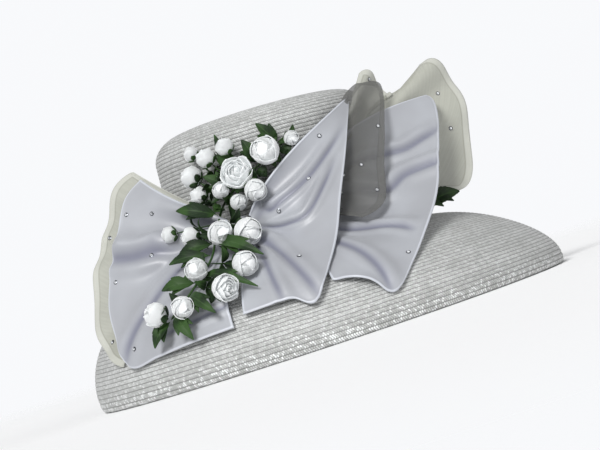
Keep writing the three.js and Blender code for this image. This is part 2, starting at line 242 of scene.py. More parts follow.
def used_only(points, faces):
    """The points that the faces use, the faces renumbered for them, and the old numbers of those points."""
    used = np.unique(faces)
    renumber = np.zeros(len(points), int)
    renumber[used] = np.arange(len(used))
    return points[used], renumber[faces], used


def both_sides(across, along):
    """The uv of a closed sheet's points, the same on both of its sides."""
    pairs = np.stack(np.broadcast_arrays(across, along), -1).reshape(-1, 2)
    return np.tile(pairs, (2, 1))


def closed_sheet(middle, wall):
    """A sheet of cloth: its middle surface moved half its wall to each side along the normal, with the two
    sides joined all round. Returns its points and faces."""
    rows, columns = middle.shape[:2]
    normal = grid_normal(middle)
    half = (0.5 * np.broadcast_to(wall, (rows, columns)))[..., None]
    points = np.concatenate([(middle + way * half * normal).reshape(-1, 3) for way in (1, -1)])
    top = grid_faces(rows, columns)
    under = grid_faces(rows, columns, rows * columns)[:, ::-1]
    index = np.arange(rows * columns).reshape(rows, columns)
    below = index + rows * columns

    def rim(line, other):
        return np.stack([line[:-1], other[:-1], other[1:], line[1:]], -1)

    rims = [
        rim(index[:, 0], below[:, 0]), rim(index[::-1, -1], below[::-1, -1]),
        rim(index[0, ::-1], below[0, ::-1]), rim(index[-1], below[-1]),
    ]
    return points, np.concatenate([top, under, *rims])


def join_parts(parts):
    """Several (points, faces, uv, slot) parts as one, with their corners renumbered."""
    points, faces, uv, slots, first = [], [], [], [], 0
    for part_points, part_faces, part_uv, slot in parts:
        points.append(part_points)
        faces.append(part_faces + first)
        uv.append(part_uv)
        slots.append(np.full(len(part_faces), slot))
        first += len(part_points)
    return np.concatenate(points), np.concatenate(faces), np.concatenate(uv), np.concatenate(slots)


# Materials


def new_material(name, colour, roughness, **sockets):
    """A Principled material with constant sockets, and the tree that a pattern is added to."""
    material = bpy.data.materials.new(name)
    material.use_nodes = True
    shader = material.node_tree.nodes["Principled BSDF"]
    shader.inputs["Base Color"].default_value = (*colour, 1)
    shader.inputs["Roughness"].default_value = roughness
    for key, value in sockets.items():
        shader.inputs[key.replace("_", " ")].default_value = value
    return material, Pattern(material.node_tree, shader)


class Pattern:
    """Short ways to add nodes to a tree. A value is a number, a colour or another node's output."""

    def __init__(self, tree, shader):
        self.tree, self.shader = tree, shader

    def node(self, kind, settings=None, **inputs):
        made = self.tree.nodes.new(kind)
        for key, value in (settings or {}).items():
            setattr(made, key, value)
        for key, value in inputs.items():
            self.feed(made.inputs[key.replace("_", " ")], value)
        return made

    def feed(self, socket, value):
        if isinstance(value, bpy.types.NodeSocket):
            self.tree.links.new(value, socket)
        else:
            socket.default_value = value

    def math(self, operation, *values):
        made = self.tree.nodes.new("ShaderNodeMath")
        made.operation = operation
        for socket, value in zip(made.inputs, values):
            self.feed(socket, value)
        return made.outputs[0]

    def times(self, one, other):
        return self.math("MULTIPLY", one, other)

    def plus(self, one, other):
        return self.math("ADD", one, other)

    def minus(self, one, other):
        return self.math("SUBTRACT", one, other)

    def wave(self, value, often):
        return self.math("SINE", self.times(value, often))

    def weave(self, across, along, often):
        return self.times(self.wave(across, often), self.wave(along, often))

    def split(self, vector):
        return self.node("ShaderNodeSeparateXYZ", Vector=vector).outputs

    def uv(self):
        return self.node("ShaderNodeUVMap", {"uv_map": "cloth"}).outputs["UV"]

    def place(self):
        return self.node("ShaderNodeTexCoord").outputs["Object"]

    def attribute(self, name):
        return self.node("ShaderNodeAttribute", {"attribute_name": name}).outputs["Fac"]

    def noise(self, vector, scale, detail=2.0):
        return self.node("ShaderNodeTexNoise", Vector=vector, Scale=scale, Detail=detail).outputs["Fac"]

    def streaks(self, across, along, often_across, often_along, detail=2.0):
        """Noise that is drawn out along the cloth."""
        x, y = self.times(across, often_across), self.times(along, often_along)
        place = self.node("ShaderNodeCombineXYZ", X=x, Y=y)
        return self.noise(place.outputs[0], 1.0, detail)

    def between(self, value, low, high):
        """0 at low and 1 at high, with an even curve between them. Low may be the larger of the two."""
        made = self.node("ShaderNodeMapRange", {"interpolation_type": "SMOOTHSTEP"}, Value=value)
        for socket, number in zip(list(made.inputs)[1:5], (low, high, 0.0, 1.0)):
            socket.default_value = number
        return made.outputs["Result"]

    def mix(self, part, one, other):
        made = self.tree.nodes.new("ShaderNodeMix")
        made.data_type = "RGBA"
        inputs = [s for s in made.inputs if s.enabled]
        for socket, value in zip(inputs, (part, one, other)):
            self.feed(socket, (*value, 1) if isinstance(value, tuple) and len(value) == 3 else value)
        return next(s for s in made.outputs if s.enabled)

    def colour(self, output):
        self.tree.links.new(output, self.shader.inputs["Base Color"])

    def bump(self, height, strength, distance):
        made = self.node("ShaderNodeBump", Strength=strength, Distance=distance * MM, Height=height)
        self.tree.links.new(made.outputs["Normal"], self.shader.inputs["Normal"])


def braid_material():
    """Silvery braid. Each row is plaited from fine ribs that lean one way and then the other across it, with
    painted shade in the gaps between them, deeper in the bold rows at the edge. Every rib has its own tone,
    and some carry a painted glint, more so in the bold rows at the edge. The seams between rows carry
    painted shade."""
    material, p = new_material("braid", (0.46, 0.47, 0.455), 0.48, Specular_IOR_Level=0.5, Sheen_Weight=0.1)
    along, across, _ = p.split(p.uv())
    part = p.math("FRACT", across)
    row = p.math("FLOOR", across)
    count = p.plus(along, p.times(p.wave(part, 2 * np.pi), 0.3))
    rib = p.between(p.math("ABSOLUTE", p.minus(p.math("FRACT", count), 0.5)), 0.5, 0.2)
    half = p.math("FLOOR", p.times(part, 2))
    cell = p.node("ShaderNodeCombineXYZ", X=p.math("FLOOR", count), Y=row, Z=half).outputs[0]
    shade = p.node("ShaderNodeTexWhiteNoise", {"noise_dimensions": "3D"}, Vector=cell).outputs["Value"]
    stripe = p.node("ShaderNodeTexWhiteNoise", {"noise_dimensions": "1D"}, W=row).outputs["Value"]
    patch = p.noise(p.place(), 35.0, 3.0)
    bold = p.attribute("bold")
    tone = p.plus(p.times(shade, 0.4), p.plus(p.times(stripe, 0.2), p.times(patch, 0.4)))
    base = p.mix(p.between(tone, 0.2, 0.8), (0.41, 0.415, 0.405), (0.62, 0.628, 0.62))
    seam = p.times(p.between(part, 0.0, 0.2), p.between(part, 1.0, 0.9))
    # Painted shade darkens the seams between the rows.
    base = p.mix(p.times(p.minus(1.0, seam), 0.85), base, (0.10, 0.104, 0.098))
    # Painted shade in the gaps between the ribs, deeper in the bold rows at the edge.
    depth = p.plus(p.times(bold, 0.55), 0.25)
    base = p.mix(p.times(p.minus(1.0, rib), depth), base, (0.172, 0.176, 0.168))
    raised = p.times(rib, seam)
    # Painted glints: some raised ribs are mixed towards white, more often in the bold rows.
    painted_glint = p.times(raised, p.between(p.plus(shade, p.times(bold, 0.5)), 0.9, 1.2))
    p.colour(p.mix(p.times(painted_glint, 0.6), base, (0.95, 0.97, 0.97)))
    p.bump(raised, 0.8, 0.4)
    return material


def lining_material():
    """Matt cloth with a fine plain weave and a slightly uneven tone."""
    material, p = new_material("lining_cloth", (0.46, 0.46, 0.38), 0.85, Sheen_Weight=0.2)
    across, along, _ = p.split(p.uv())
    p.colour(p.mix(p.noise(p.place(), 30.0, 3.0), (0.396, 0.396, 0.327), (0.516, 0.516, 0.43)))
    p.bump(p.weave(across, along, 9.0), 0.25, 0.15)
    return material


def satin_material():
    """Satin: a smooth sheen with very fine lengthwise threads, painted bluish shade in the troughs of its
    folds and pleats, and a paler rolled hem."""
    material, p = new_material(
        "satin", (0.45, 0.475, 0.53), 0.4, Sheen_Weight=0.3, Sheen_Roughness=0.35, Specular_IOR_Level=0.55,
    )
    across, along, _ = p.split(p.uv())
    cloud = p.noise(p.place(), 22.0, 2.0)
    base = p.mix(p.between(cloud, 0.3, 0.7), (0.335, 0.343, 0.366), (0.385, 0.398, 0.426))
    # Painted bluish shade where the cloth dips beside its folds and between its pleats.
    base = p.mix(p.times(p.attribute("hollow_shade"), 0.85), base, (0.155, 0.16, 0.215))
    hem = p.between(p.attribute("to_edge"), 2.2, 1.0)
    p.colour(p.mix(p.times(hem, 0.75), base, (0.568, 0.593, 0.645)))
    p.bump(p.streaks(across, along, 2.4, 0.12), 0.12, 0.12)
    return material


def organza_material(name, colour, band_colour, line_colour, cover):
    """Organza: sheer cloth that covers part of what is behind it, with a fine open weave and faint stripes
    along the threads. A stitched line runs a little way inside the edge, and the cloth outside it is folded
    double."""
    material, p = new_material(name, colour, 0.5, Sheen_Weight=0.2, Specular_IOR_Level=0.4)
    across, along, _ = p.split(p.uv())
    weave = p.weave(across, along, 7.0)
    stripes = p.streaks(across, along, 0.5, 0.03, 3.0)
    to_edge = p.attribute("to_edge")
    band = p.between(to_edge, 6.4, 5.6)
    line = p.times(p.between(to_edge, 5.2, 5.8), p.between(to_edge, 7.0, 6.4))
    darker, paler = (tuple(level * c for c in colour) for level in (0.96, 1.04))
    base = p.mix(p.between(stripes, 0.3, 0.7), darker, paler)
    base = p.mix(p.times(band, 0.8), base, band_colour)
    p.colour(p.mix(p.times(line, 0.6), base, line_colour))
    doubled = p.times(band, 0.35 * (0.95 - cover))
    fine = p.plus(p.times(weave, 0.04), p.times(p.minus(stripes, 0.5), 0.04))
    p.feed(p.shader.inputs["Alpha"], p.plus(doubled, p.plus(fine, cover)))
    p.bump(weave, 0.2, 0.1)
    return material


def petal_material():
    """White cloth petals, greener towards the base, with faint creases along them."""
    material, p = new_material(
        "petal", (0.93, 0.965, 0.965), 0.55, Sheen_Weight=0.4, Subsurface_Weight=0.6, Subsurface_Scale=0.004,
        Subsurface_Radius=(1, 1, 1),
    )
    across, along, _ = p.split(p.uv())
    p.colour(p.mix(p.between(along, 0.0, 0.2), (0.72, 0.82, 0.74), (0.94, 0.97, 0.975)))
    p.bump(p.streaks(across, along, 14.0, 2.0), 0.3, 0.4)
    return material


def leaf_material():
    """Green cloth leaf: paler along the midrib and the side veins, darker and lighter in patches."""
    material, p = new_material("leaf_green", (0.04, 0.09, 0.02), 0.5, Specular_IOR_Level=0.25)
    across, along, _ = p.split(p.uv())
    away = p.math("ABSOLUTE", across)
    vein = p.math("ABSOLUTE", p.wave(p.minus(along, p.times(away, 0.35)), 19.0))
    vein = p.times(p.between(vein, 0.30, 0.0), p.between(away, 1.0, 0.7))
    rib = p.math("MAXIMUM", p.between(away, 0.10, 0.03), p.times(vein, 0.5))
    patch = p.between(p.noise(p.place(), 60.0, 2.0), 0.38, 0.62)
    base = p.mix(patch, (0.010, 0.024, 0.008), (0.030, 0.072, 0.016))
    p.colour(p.mix(p.times(rib, 0.5), base, (0.055, 0.11, 0.035)))
    p.bump(rib, 0.4, -0.3)
    return material


def rhinestone_material(name, colour):
    """Foiled crystal: mirror-smooth facets whose colour is uneven in fine patches."""
    material, p = new_material(name, colour, 0.08, Metallic=0.7, Specular_IOR_Level=0.8)
    p.colour(p.mix(p.noise(p.place(), 900.0, 1.0), tuple(0.8 * c for c in colour), colour))
    return material


BRAID = braid_material()
LINING = lining_material()
SATIN = satin_material()
# Two organzas: a dark grey one for the front ribbon and a cream one for the others.
DARK_ORGANZA = organza_material(
    "organza_dark", (0.135, 0.135, 0.128), (0.125, 0.125, 0.118), (0.09, 0.09, 0.086), 0.42,
)
CREAM_ORGANZA = organza_material(
    "organza_cream", (0.43, 0.435, 0.375), (0.56, 0.565, 0.51), (0.30, 0.30, 0.25), 0.75,
)
PETAL = petal_material()
LEAF = leaf_material()
# The crystal in a bright and a dark copy. The dark copy colours the flat ring round each stone and, as
# painted shade, single facets of the crown and table, so that the stones seem to sparkle.
RHINESTONE = rhinestone_material("rhinestone", (0.95, 0.97, 1.0))
DARK_FACET = rhinestone_material("rhinestone_shade", (0.07, 0.075, 0.085))


# Crown, brim and lining


def braid_relief(rows):
    """Height of the braid above its wall, where rows counts the rows and their fractions. Each row rises
    steeply from its seam to a rounded back and stands highest just before the next seam."""
    part = rows % 1
    back = np.sin(np.pi * np.clip(part * 1.02, 0, 1)) ** 0.45
    return 0.3 * back + 0.2 * part * back


# Where the points lie across one row of braid, and the number of them round the hat.
ROW_STEPS = np.array([0.0, 0.16, 0.5, 0.86])
CROWN_AROUND, BRIM_AROUND, LINING_AROUND = 240, 288, 240
# Points along the bell and round the rolled edge, the edge's radius, and how wide the bold part is.
BELL_STEPS, ROLL_STEPS, EDGE_ROLL, BOLD_PART = 60, 12, 4.7, 0.055
# The lining's pulls: how many round the hat, how high, and turned by how many degrees.
LINING_PULLS = [(17, 1, 0), (29, 0.6, 40), (43, 0.4, 0)]
# The braid's and the lining's patterns: fineness of the profile's table, and millimetres to a step round.
TABLE_STEPS, LINING_STEP_AROUND = 2000, 2.4


def braided(line, bold=lambda part: 0 * part):
    """A profile laid with rows of braid: points at the row steps of each row along the line, moved out by
    the relief. The rows are wider and stand higher where they are bold, which is 0 to 1 along the line.
    Returns the profile, each point's count of rows and how bold it is."""
    part = np.linspace(0, 1, TABLE_STEPS + 1)
    pitch = BRAID_ROW + (EDGE_ROW - BRAID_ROW) * bold(part)
    count = np.concatenate([[0], np.cumsum(0.5 * (1 / pitch[1:] + 1 / pitch[:-1]))])
    total = int(round(count[-1] / TABLE_STEPS * length_of(line)))
    rows = np.append((np.arange(total)[:, None] + ROW_STEPS).ravel(), total - 1e-6)
    at = np.interp(rows, count / count[-1] * total, part)
    base = spaced(line, at * length_of(line))
    height = (1 + 0.7 * bold(at)) * braid_relief(rows)
    return base + out_of(base) * height[:, None], rows, bold(at)


def revolve(name, profile, rows, around, bold):
    """A closed profile of radius and height turned round the oval head. Points on the axis are joined into
    a pole. Along the turn the pattern counts ribs, a whole number to each row of braid."""
    turns = np.arange(around) * 360 / around
    points = lean(upright(turns[None, :], profile[:, :1], profile[:, 1:]))
    count = len(profile)
    index = np.arange(count * around).reshape(count, around)
    pole = profile[:, 0] < 1e-6
    index[pole] = index[pole][:, :1]
    faces = ring_faces(index)[:, [0, 3, 2, 1]]
    step, side = np.indices((count - 1, around)).reshape(2, -1)
    middle = 0.5 * (profile[1:, 0] + profile[:-1, 0])
    row = np.floor(0.5 * (rows[1:] + rows[:-1])).astype(int)
    mean = np.bincount(row, middle) / np.maximum(np.bincount(row), 1)
    ribs = np.round(2 * np.pi * mean[row] / RIB)
    uv = np.empty((len(faces), 4, 2))
    for corner, (down, round_) in enumerate(((0, 0), (1, 0), (1, 1), (0, 1))):
        uv[:, corner, 0] = (side + round_) / around * ribs[step]
        within = np.where(rows[step + down] >= row[step] + 1, row[step] + 0.999, rows[step + down])
        uv[:, corner, 1] = np.maximum(within, row[step])
    points, faces, used = used_only(points.reshape(-1, 3), faces)
    return make_piece(name, points, faces, [BRAID], uv, attributes={"bold": np.repeat(bold, around)[used]})


def smooth_rows(line, last_row):
    """Row counts that go on from the last row along a plain stretch of the profile."""
    return last_row + 1 + run_along(line) / BRAID_ROW


def crown():
    """The braid runs from the middle of the tip over the shoulder and down the wall, and the plain inside
    goes back up to the middle."""
    foot = JOIN_HEIGHT + SMALL_GAP
    outside = np.concatenate([[[0, TIP_HEIGHT]], shoulder(np.linspace(1, 0, 25)), [[BASE_RADIUS, foot]]])
    outer, rows, _ = braided(outside)
    outer[0] = 0, TIP_HEIGHT
    coarse = spaced(outside, np.linspace(0, length_of(outside), 60))
    inner = coarse - BRAID_WALL * out_of(coarse)
    inner[0] = 0, TIP_HEIGHT - BRAID_WALL
    inner[-1, 1] = foot
    inside = inner[::-1]
    profile = np.concatenate([outer, inside])
    rows = np.concatenate([rows, smooth_rows(inside, rows[-1])])
    return revolve("crown_braid", profile, rows, CROWN_AROUND, 0 * rows)


def brim():
    """The braid runs from the crown down the bell, round the rolled edge and up the band under it, and the
    plain inside goes back up behind the lining to the head opening."""
    turn = np.radians(np.linspace(0, 105, ROLL_STEPS))
    middle = np.array([WIDEST_RADIUS - EDGE_ROLL, EDGE_ROLL + 0.1])
    rolled = middle + EDGE_ROLL * np.stack([np.cos(turn), -np.sin(turn)], -1)
    under = np.array([BAND["middle"], BAND["edge"]], float)
    outside = np.concatenate([bell(np.linspace(1, 0, BELL_STEPS)), rolled, under])
    edge_at = length_of(outside[:BELL_STEPS + ROLL_STEPS // 2]) / length_of(outside)
    outer, rows, bold = braided(outside, lambda part: np.exp(-(((part - edge_at) / BOLD_PART) ** 2)))
    outer[:, 1] = np.maximum(outer[:, 1], 0.02)
    dome = bell(np.linspace(0, 1, 30))[::-1]
    dome_inside = (dome - BRAID_WALL * out_of(dome))[::-1]
    dome_inside[-1, 1] = JOIN_HEIGHT - BRAID_WALL
    collar = [(HEAD_RADIUS, JOIN_HEIGHT - BRAID_WALL), (HEAD_RADIUS, JOIN_HEIGHT)]
    inside = np.concatenate([[BAND["back"], EDGE_INSIDE], dome_inside, collar, [outer[0]]])
    profile = np.concatenate([outer, inside])
    rows = np.concatenate([rows, smooth_rows(inside, rows[-1])])
    bold = np.concatenate([bold, np.zeros(len(inside))])
    return revolve("brim_braid", profile, rows, BRIM_AROUND, bold)


def brim_lining():
    """A cone of cloth from behind the braid band up to the head opening, with soft radial pulls that are
    widest at the hem."""
    turn = np.linspace(0, 360, LINING_AROUND + 1)
    line = np.array([LINING_HEM, LINING_STEP, LINING_TOP], float)
    at = np.concatenate([[0, 1.5, 3.2, 4.6], np.linspace(7, length_of(line), 40)])
    place = spaced(line, at)[:, None, :]
    pull = sum(high * np.sin(np.radians(turn * count + start)) for count, high, start in LINING_PULLS)
    sag = 0.35 * pull * smoothstep(at, 6, 20)[:, None] * (1.15 - at[:, None] / at[-1])
    surface = lean(upright(turn[None, :], place[..., 0], place[..., 1] + sag))
    surface[:, -1] = surface[:, 0]
    normal = grid_normal(surface)
    normal[:, 0] = normal[:, -1] = unit(normal[:, 0] + normal[:, -1])
    points = np.concatenate([surface[:, :-1], (surface + LINING_WALL * normal)[::-1, :-1]])
    loop = np.arange(len(points) * LINING_AROUND).reshape(len(points), LINING_AROUND)
    faces = ring_faces(np.vstack([loop, loop[:1]]))
    run = np.concatenate([at, at[::-1], at[:1]])
    i, j = np.indices(loop.shape).reshape(2, -1)
    corners = ((0, 0), (1, 0), (1, 1), (0, 1))
    uv = np.stack([np.stack([(j + a) * LINING_STEP_AROUND, run[i + b]], -1) for a, b in corners], 1)
    return make_piece("lining_cone", points, faces, [LINING], uv)


# Ribbons

# The knot's place, how far from its middle the ribbons are gathered, and the size of its roll.
KNOT_TURN, KNOT_HEIGHT, GATHER = -40, 103, 9
KNOT_RADIUS, KNOT_HALF_HEIGHT, KNOT_STANDS_OUT = 7.5, 11.5, 12
SOFTENING = 2
LIFT_OUT, LIFT_UP = 0.8, 0.6
SATIN_WALL, ORGANZA_WALL = 1.2, 0.5
# Points of a ribbon along it and across it, each with the step at its hem.
RIBBON_ALONG, RIBBON_ACROSS = (88, 0.006), (130, 0.003)
# Part of the ribbon over which a corner is rounded and over which the gathers start, and how they fade.
CORNER, GATHER_START, GATHER_FADE = 0.03, 0.12, 2.2
# Points along a fold, and the step across the ribbon that tells its two sides apart.
FOLD_STEPS, BESIDE = 25, 0.02


def soft_max(a, b):
    """The larger of two numbers, with the corner between them rounded."""
    return (a + b + np.hypot(a - b, SOFTENING)) / 2


def crown_radius(height):
    """Radius of the crown's outside at a height: a straight wall and then the shoulder."""
    wall_top = TIP_HEIGHT - SHOULDER_HEIGHT
    wall = BASE_RADIUS + (WALL_RADIUS - BASE_RADIUS) * (height - JOIN_HEIGHT) / (wall_top - JOIN_HEIGHT)
    rise = np.clip((height - wall_top) / SHOULDER_HEIGHT, 0, 1)
    return np.where(height <= wall_top, wall, TIP_RADIUS + (WALL_RADIUS - TIP_RADIUS) * np.sqrt(1 - rise**2))


def nearest_stretch(points, line):
    """For each point, its distance to a polyline, the number of the nearest stretch of it, the part of the
    way along that stretch, and the step from there to the point."""
    nearest = np.full(points.shape[:-1], np.inf)
    stretch = np.zeros(nearest.shape, int)
    along = np.zeros(nearest.shape)
    off = np.zeros(points.shape)
    for i, (a, b) in enumerate(zip(line[:-1], line[1:])):
        part = np.clip(((points - a) @ (b - a)) / ((b - a) @ (b - a)), 0, 1)
        step = points - a - part[..., None] * (b - a)
        distance = np.linalg.norm(step, axis=-1)
        closer = distance < nearest
        nearest = np.where(closer, distance, nearest)
        stretch = np.where(closer, i, stretch)
        along = np.where(closer, part, along)
        off = np.where(closer[..., None], step, off)
    return nearest, stretch, along, off


def clear_of_hat(radius, height, gap):
    """Radius and height moved out until they clear the crown's wall by the gap, and then moved along the
    normal of the nearest stretch of the bell until they clear that too."""
    radius = soft_max(radius, crown_radius(height) + gap)
    place = np.stack([radius, height], -1)
    line = np.concatenate([[[0, JOIN_HEIGHT]], bell(np.linspace(1, 0, 25))])
    nearest, stretch, _, off = nearest_stretch(place, line)
    run = np.diff(line, axis=0)
    out = unit(np.stack([-run[:, 1], run[:, 0]], -1))[stretch]
    signed = nearest * np.where((off * out).sum(-1) < 0, -1, 1)
    place = place + out * (soft_max(signed, gap) - signed)[..., None]
    return place[..., 0], place[..., 1]


def between_rows(rows, at):
    """Values between the rows of a table, on the Catmull-Rom curve through all of them."""
    rows = np.asarray(rows, float)
    i = np.minimum(np.floor(at).astype(int), len(rows) - 2)
    t = (at - i)[:, None]
    a, b, c, d = (rows[np.clip(i + k, 0, len(rows) - 1)] for k in (-1, 0, 1, 2))
    return b + 0.5 * t * (c - a + t * (2 * a - 5 * b + 4 * c - d + t * (3 * (b - c) + d - a)))


def fan(folds, knot_gap, edge_gap, along, across):
    """Points of a ribbon that fans out from the knot, as a grid of along (0 at the gathers, 1 at the free
    edge) by across (0 to 1 over the rows of folds). Each fold is a quadratic curve from the gathers through
    its middle place to its end, raised by its ridge and laid clear of the hat."""
    row = between_rows(folds, across * (len(folds) - 1))
    mid_turn, mid_radius, mid_height, end_turn, end_radius, end_height, ridge = row.T[:, None, :]
    t = along[:, None]
    gap = edge_gap + (knot_gap - edge_gap) * (1 - t) ** 2
    per_degree = np.radians(BASE_RADIUS)
    aside = (mid_turn - KNOT_TURN) * per_degree
    above = mid_height - KNOT_HEIGHT
    reach = GATHER / np.hypot(aside, above)

    def curve(start, middle, end):
        return start * (1 - t) * (1 - 2 * t) + middle * 4 * t * (1 - t) + end * t * (2 * t - 1)

    lift = ridge * (np.sin(np.pi * t**0.6) * (1 - 0.3 * t) + 0.25 * t)
    radius = curve(crown_radius(KNOT_HEIGHT) + knot_gap, mid_radius, end_radius) + LIFT_OUT * lift
    height = curve(KNOT_HEIGHT + above * reach, mid_height, end_height) + LIFT_UP * lift
    radius, height = clear_of_hat(radius, height, gap)
    return lean(upright(curve(KNOT_TURN + aside * reach / per_degree, mid_turn, end_turn), radius, height))


def edged(count, edge):
    """Even steps from 0 to 1 with one more step close to each end, for a rounded hem."""
    return np.concatenate([[0, edge], np.linspace(edge * 3, 1 - edge * 3, count), [1 - edge, 1]])


# The columns of folds: middle turn, radius and height, end turn, radius and height, and the fold's ridge.
# Gaps keep a ribbon clear of the hat at the knot and at its free edge. Depth is the height of its pleats and
# waves, ruffle the number and height of those at the free edge, round the part cut off at each of its two
# corners, lift how far its end stands out, and flat its width, length and area in metres.
RIBBONS = {
    "satin_front": {
        "gaps": (12, 5), "material": SATIN, "wall": SATIN_WALL, "pleats": 6, "depth": 1.6,
        "flat": (0.26, 0.11, 0.0135), "rests_on": ["crown_braid", "brim_braid"],
        "folds": [
            (-11, 102, 147, 27, 98, 179, 1), (-12, 106, 130, 14, 108, 147, -2),
            (-15, 115, 109, 0, 128, 106, 3), (-20, 127, 88, -10, 157, 67, -2),
            (-25, 139, 72, -20, 188, 33, 2), (-29, 141, 69, -25, 186, 39, -1),
            (-33, 142, 69, -31, 186, 39, 2), (-37, 142, 69, -37, 186, 39, 0),
        ],
    },
    "satin_left": {
        "gaps": (12, 4), "material": SATIN, "wall": SATIN_WALL, "pleats": 8, "depth": 3.2,
        "flat": (0.28, 0.12, 0.018), "rests_on": ["organza_left_ribbon"],
        "folds": [
            (-67, 106, 136, -85, 112, 163, 0), (-68, 109, 128, -87, 127, 149, 4),
            (-68, 116, 116, -85, 147, 117, -4), (-68, 122, 104, -82, 165, 86, 4),
            (-65, 131, 91, -78, 179, 58, -3), (-59, 142, 75, -72, 188, 26, 3),
            (-54, 147, 67, -62, 191, 28, -2), (-48, 148, 66, -51, 191, 30, 2),
            (-41, 144, 68, -40, 190, 33, 0),
        ],
    },
    "organza_left": {
        "gaps": (6, 1.2), "material": CREAM_ORGANZA, "wall": ORGANZA_WALL, "pleats": 9, "depth": 1.2,
        "ruffle": (5.5, 3), "round": (0.04, 0.04), "flat": (0.2, 0.13, 0.0135), "rests_on": ["brim_braid"],
        "folds": [
            (-70, 101, 141, -91, 113, 172, 0), (-72, 104, 133, -95, 127, 161, 1),
            (-74, 111, 122, -94, 146, 129, -2), (-74, 118, 110, -92, 164, 97, 2),
            (-72, 126, 95, -88, 177, 66, -1), (-68, 133, 80, -83, 185, 42, 1),
            (-62, 138, 67, -76, 189, 25, 0),
        ],
    },
    "organza_front": {
        "gaps": (9, 6), "material": DARK_ORGANZA, "wall": ORGANZA_WALL, "pleats": 6, "depth": 2.0,
        "lift": 5, "flat": (0.17, 0.125, 0.009), "rests_on": ["crown_braid"],
        "folds": [
            (9, 92, 162, 34, 97, 185, 0), (9, 95, 145, 44, 107, 179, 1), (6, 98, 130, 33, 113, 145, -1),
            (2, 102, 116, 23, 119, 116, 2), (-4, 106, 102, 15, 128, 88, -1), (-9, 113, 90, 3, 136, 78, 0),
        ],
    },
    "satin_right": {
        "gaps": (6, 2.5), "material": SATIN, "wall": SATIN_WALL, "pleats": 7, "depth": 2.2,
        "round": (0.05, 0.0), "flat": (0.28, 0.15, 0.021), "rests_on": ["brim_braid"],
        "folds": [
            (20, 88, 150, 56, 146, 164, 1), (17, 90, 132, 42, 147, 124, -3), (12, 96, 111, 29, 154, 91, 3),
            (5, 108, 90, 17, 167, 66, -2), (-3, 128, 74, 5, 181, 40, 2), (-8, 140, 66, -4, 191, 22, 0),
            (-12, 140, 66, -8, 190, 36, 3), (-15, 135, 68, -12, 184, 43, 1), (-20, 130, 70, -15, 178, 43, 0),
        ],
    },
    "organza_right": {
        "gaps": (2, 2), "material": CREAM_ORGANZA, "wall": ORGANZA_WALL, "pleats": 7, "depth": 1.6,
        "ruffle": (4.5, 7), "round": (0.06, 0.05), "flat": (0.22, 0.19, 0.015), "rests_on": ["crown_braid"],
        "folds": [
            (18, 86, 156, 51, 93, 200, 0), (20, 86, 152, 54, 102, 184, 1), (22, 86, 148, 54, 109, 168, -2),
            (24, 86, 144, 58, 124, 176, 2), (26, 87, 138, 64, 143, 192, -1), (27, 88, 131, 65, 158, 168, 2),
            (27, 89, 122, 62, 160, 132, -2), (26, 90, 112, 57, 156, 102, 2), (25, 92, 102, 51, 151, 78, 0),
        ],
    },
}


# Folds of the satin, one by one: height and half width of the fold, and its line across the ribbon as pairs
# of part along and part across. The cloth bulges above the line, dips at it and rises a little below it.
FOLDS = {
    "satin_front": [
        (4.6, 6, [(0.02, 0.16), (0.2, 0.31), (0.38, 0.28), (0.63, 0.22), (0.80, 0.17), (1.0, 0.10)]),
        (3.8, 5, [(0.05, 0.42), (0.25, 0.43), (0.47, 0.40), (0.66, 0.36), (0.80, 0.27), (0.92, 0.18)]),
        (3.2, 8, [(0.1, 0.62), (0.5, 0.60), (1.05, 0.56)]),
        (3.0, 7, [(0.1, 0.78), (0.5, 0.78), (1.05, 0.78)]),
    ],
    "satin_left": [
        (11.0, 14, [(0.4, 0.47), (0.6, 0.41), (0.75, 0.37), (0.9, 0.325), (1.08, 0.28)]),
        (4.0, 12, [(0.3, 0.60), (0.6, 0.60), (1.05, 0.62)]),
        (3.0, 6, [(0.9, 0.74), (0.87, 0.86), (0.84, 1.02)]),
    ],
    "satin_right": [
        (6.0, 8, [(0.35, 0.16), (0.6, 0.17), (0.75, 0.16), (0.85, 0.15), (0.94, 0.12), (1.06, 0.08)]),
        (6.0, 9, [(0.25, 0.36), (0.5, 0.30), (0.73, 0.30), (0.84, 0.24), (0.96, 0.20), (1.1, 0.16)]),
        (4.5, 9, [(0.25, 0.52), (0.5, 0.50), (0.75, 0.44), (0.95, 0.42)]),
        (3.0, 9, [(0.3, 0.70), (0.6, 0.68), (1.05, 0.66)]),
    ],
}


def fold_height(points, line, high, wide):
    """Height of one fold at points of a surface, and the weight of painted shade in the trough beside it: by
    their distance to the fold's line, signed by the side on which they lie, and less towards the two ends of
    the line."""
    away, stretch, part, off = nearest_stretch(points, line[:, 0])
    side = np.sign((off * (line[:, 1] - line[:, 0])[stretch]).sum(-1))
    along = (stretch + part) / (len(line) - 1)
    x = away * side / wide
    x = np.where(x < 0.9, 0.9 + (x - 0.9) * 1.35, x)
    fade = smoothstep(along, 0, 0.25) * smoothstep(along, 1.0, 0.8)
    rise = 0.9 * np.exp(-(((x - 0.9) / 0.75) ** 2)) + 0.4 * np.exp(-(((x + 1.0) / 0.6) ** 2))
    # The second value weighs the painted shade in the trough beside the fold.
    return high * fade * rise, fade * np.exp(-(((x + 0.05) / 0.5) ** 2))


